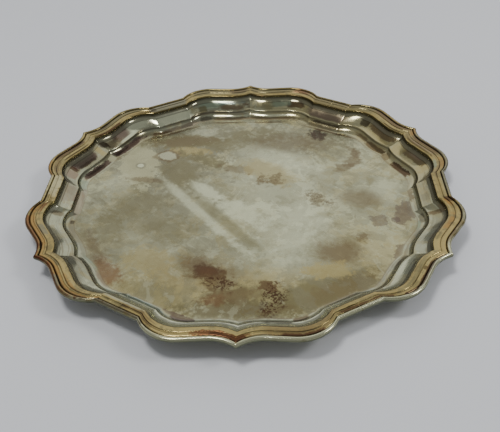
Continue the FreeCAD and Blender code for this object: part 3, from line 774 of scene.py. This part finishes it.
def tray_finish():
    """Softly mirrored sheet under clouds, smudges and panels of grey, tan, olive and brown; on the
    wall, painted reflections, highlights and shade.
    """
    f = Finish("tarnish_and_painted_light_sheet")
    fine = f.noise(0.035, 8, 0.70, seed=3.1)
    broad = f.noise(0.30, 5, 0.60, 0.6, seed=1.7)
    cloud = f.noise(0.11, 6, 0.62, 0.9, seed=8.4)
    grain = f.noise(0.006, 3, 0.6, seed=5.5)
    wiped = f.streaks(-42, 9, 0.03, 7.7)
    wander = f.edge_noise(fine, cloud)
    mottle = f.noise(0.24, 8, 0.68, 1.2, seed=4.9)
    smoke = f.noise(0.11, 8, 0.68, 0.8, seed=12.5)
    colour = f.blend(SILVER, GREY, f.ramp(broad, 0.44, 0.60, 0, 0.55))
    colour = f.blend(colour, TAN, f.ramp(cloud, 0.50, 0.53, 0, 0.35))
    colour = f.blend(colour, PALE, f.ramp(wiped, 0.52, 0.70, 0, 0.35))
    colour = f.patches(colour, FLOOR_CLOUDS, f.place, wander)
    colour = f.blend(colour, GREY, f.ramp(mottle, 0.49, 0.515, 0, 0.36))
    colour = f.blend(colour, OLIVE, f.ramp(smoke, 0.54, 0.57, 0, 0.30))
    colour = f.blend(colour, PALE, f.ramp(smoke, 0.43, 0.39, 0, 0.20))
    colour = f.patches(colour, FLOOR_SMUDGES, f.place, wander)
    speckled = f.patches(BLACK, SPECKLED, f.place, wander)
    whorls = f.noise(0.014, 2, 0.5, 1.5, seed=6.2)
    specks = f.maths("MULTIPLY", speckled, f.ramp(whorls, 0.50, 0.54, 0, 0.9))
    colour = f.blend(colour, RED_BROWN, specks)
    # the wall, from the border to the floor
    share = f.attribute("share")
    on_wall = f.ramp(share, 1.02, 0.97)
    wall_colour = f.blend(SEA_GREY, GREY, f.ramp(broad, 0.44, 0.60, 0.0, 0.60))
    wall_colour = f.blend(wall_colour, TAN, f.ramp(cloud, 0.50, 0.56, 0, 0.35))
    place = f.rim_place()
    lines = f.rim_streaks(place, 2.2, 0.11, 3.7)
    wall_colour = f.blend(wall_colour, BROWN, f.ramp(lines, 0.55, 0.62, 0, 0.45))
    wall_colour = f.blend(wall_colour, PALE, f.ramp(lines, 0.46, 0.38, 0, 0.50))
    # the wall's boxes: tarnish, painted reflections and painted highlights
    wall_colour = f.patches(wall_colour, WALL_PATCHES, place, wander, boxy=True)
    wavering = f.maths("MULTIPLY_ADD", wander, 0.012, share)
    # painted shade along the wall's edges and creases
    for middle, half, soft, tint, strength in WALL_SHADE_LINES:
        cover = f.maths("MULTIPLY", f.band(wavering, middle, half, soft), strength)
        wall_colour = f.blend(wall_colour, tint, cover)
    colour = f.blend(colour, wall_colour, on_wall)
    # the underside, plainer and greyer
    below = f.blend(SILVER, GREY, f.ramp(cloud, 0.42, 0.62, 0, 0.8))
    colour = f.blend(colour, below, f.attribute("under"))
    hazy = f.maths("ADD", f.ramp(broad, 0.3, 0.7, 0.18, 0.27), f.ramp(cloud, 0.45, 0.7, 0.0, 0.12))
    clear = f.ramp(cloud, 0.35, 0.65, 0.09, 0.22)
    roughness = f.maths("ADD", f.maths("MULTIPLY", clear, on_wall),
                        f.maths("MULTIPLY", hazy, f.maths("SUBTRACT", 1.0, on_wall)))
    height = f.maths("MULTIPLY_ADD", grain, 0.012, f.noise(0.16, 2, 0.4, seed=2.2))
    return f.finish(colour, roughness, height, 0.0006)


def border_finish():
    """Cast moulding, gilded with sulphide tarnish, with painted shade in its grooves and on its
    outer face, and a paler crest at the front that is a painted highlight.
    """
    f = Finish("tarnish_and_painted_light_moulding")
    fine = f.noise(0.03, 6, 0.62, seed=4.1)
    broad = f.noise(0.22, 4, 0.6, 0.5, seed=6.3)
    wander = f.edge_noise(fine, broad)
    groove, share, level = f.attribute("groove"), f.attribute("share"), f.attribute("level")
    colour = f.blend(TAN, GOLD, f.ramp(broad, 0.36, 0.60, 0.15, 0.90))
    colour = f.blend(colour, OLIVE, f.ramp(fine, 0.48, 0.56, 0, 0.55))
    place = f.rim_place()
    lines = f.rim_streaks(place, 1.5, 0.07, 6.1)
    colour = f.blend(colour, BROWN, f.ramp(lines, 0.53, 0.60, 0, 0.60))
    colour = f.blend(colour, BRASS, f.ramp(lines, 0.46, 0.38, 0, 0.65))
    colour = f.patches(colour, BORDER_PATCHES, place, wander, boxy=True)
    # the outer face, below the crest, darkened with painted shade and reflection
    outward = f.ramp(f.maths("MULTIPLY_ADD", wander, 0.15, level), 15.6, 14.6)
    outward = f.maths("MULTIPLY", outward, f.ramp(share, 0.075, 0.05))
    colour = f.blend(colour, SHADED_FACE_SLATE, f.maths("MULTIPLY", outward, 0.85))
    # painted shade in the crevice at the border's inner foot
    inner_foot_shade = f.band(share, 0.380, 0.004, 0.012)
    inner_foot_shade = f.maths("MULTIPLY", inner_foot_shade, f.ramp(fine, 0.35, 0.6, 0.3, 0.8))
    colour = f.blend(colour, DARK, inner_foot_shade)
    # painted shade in the grooves
    groove = f.maths("MULTIPLY", groove, f.ramp(broad, 0.38, 0.60, 0.45, 1.0))
    colour = f.blend(colour, DARK, groove)
    roughness = f.ramp(fine, 0.3, 0.7, 0.10, 0.26)
    return f.finish(colour, roughness, fine, 0.0001)


def solder_finish():
    """Solder a little duller and greyer than the silver beside it."""
    f = Finish("dull_solder")
    fine = f.noise(0.01, 5, 0.6, seed=9.9)
    colour = f.blend(TAN, OLIVE, f.ramp(fine, 0.35, 0.65))
    return f.finish(colour, f.ramp(fine, 0.3, 0.7, 0.3, 0.5), fine, 0.0001)


def paint(obj, material):
    obj.data.materials.clear()
    obj.data.materials.append(material)


# ---------------------------------------------------------------- the salver
sheet_material = tray_finish()
moulding_material = border_finish()
solder_material = solder_finish()
paint(build_plate(), sheet_material)
for number in range(1, REPEATS + 1):
    paint(build_border_section(number), moulding_material)
paint(build_butt_solder(), solder_material)
paint(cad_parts["border_solder"], solder_material)


# ---------------------------------------------------------------- floor, light and camera
FLOOR_SHADE = shade(0.66, 0.67, 0.69)
SKY_LOW = shade(0.26, 0.26, 0.265)
SKY_HIGH = shade(0.42, 0.43, 0.45)
LIGHTS = {                                       # place and sizes in metres, power in watts
    "back_panel": ((0.15, 1.35, 0.95), (2.0, 1.2), 4.4),
    "overhead": ((-0.35, -0.1, 1.6), (0.45, 0.45), 12),
    "window": ((1.15, -0.05, 1.1), (0.45, 0.45), 7),
}
EYE = Vector((0.159, -2.783, 1.943)) * CUSP      # from the middle of the crest's plane
HEADING, PITCH, ROLL = math.radians(2.889), math.radians(37.32), math.radians(-2.21)
LENS, SENSOR = 52.65, 36.0                       # mm


def build_floor():
    """A plain pale floor under the salver."""
    mesh = bpy.data.meshes.new("floor")
    reach = 8.0
    corners = [(-reach, -reach, 0), (reach, -reach, 0), (reach, reach, 0), (-reach, reach, 0)]
    mesh.from_pydata(corners, [], [(0, 1, 2, 3)])
    obj = add_object("floor", mesh)
    material = bpy.data.materials.new("pale_floor")
    material.use_nodes = True
    shader = material.node_tree.nodes["Principled BSDF"]
    shader.inputs["Base Color"].default_value = FLOOR_SHADE
    shader.inputs["Roughness"].default_value = 0.9
    mesh.materials.append(material)


def area_light(name, place, sizes, power):
    """A soft light that faces the salver."""
    data = bpy.data.lights.new(name, "AREA")
    data.shape = "ELLIPSE"
    data.size, data.size_y = sizes
    data.energy = power
    obj = add_object(name, data)
    obj.location = place
    obj.rotation_euler = (-Vector(place)).to_track_quat("-Z", "Y").to_euler()


def build_lights():
    """A grey sky, paler overhead, and the area lights."""
    world = bpy.data.worlds.new("studio")
    bpy.context.scene.world = world
    world.use_nodes = True
    nodes, links = world.node_tree.nodes, world.node_tree.links
    parts = nodes.new("ShaderNodeSeparateXYZ")
    rise = nodes.new("ShaderNodeMapRange")
    mix = nodes.new("ShaderNodeMix")
    mix.data_type = "RGBA"
    links.new(nodes.new("ShaderNodeTexCoord").outputs["Generated"], parts.inputs[0])
    links.new(parts.outputs["Z"], rise.inputs["Value"])
    rise.inputs["From Min"].default_value = 0.05
    rise.inputs["From Max"].default_value = 0.65
    links.new(rise.outputs["Result"], mix.inputs["Factor"])
    mix.inputs["A"].default_value = SKY_LOW
    mix.inputs["B"].default_value = SKY_HIGH
    links.new(mix.outputs["Result"], nodes["Background"].inputs["Color"])
    for name, (place, sizes, power) in LIGHTS.items():
        area_light(name, place, sizes, power)


def build_camera():
    """A view from the front, a little to the right, looking down at 37 degrees."""
    data = bpy.data.cameras.new("camera")
    data.sensor_width = SENSOR
    data.lens = LENS
    camera = add_object("camera", data)
    camera.matrix_world = (Matrix.Translation(Vector((0, 0, HEIGHT)) + EYE)
                           @ Matrix.Rotation(HEADING, 4, "Z")
                           @ Matrix.Rotation(math.pi / 2 - PITCH, 4, "X")
                           @ Matrix.Rotation(ROLL, 4, "Z"))
    bpy.context.scene.camera = camera


build_floor()
build_lights()
build_camera()
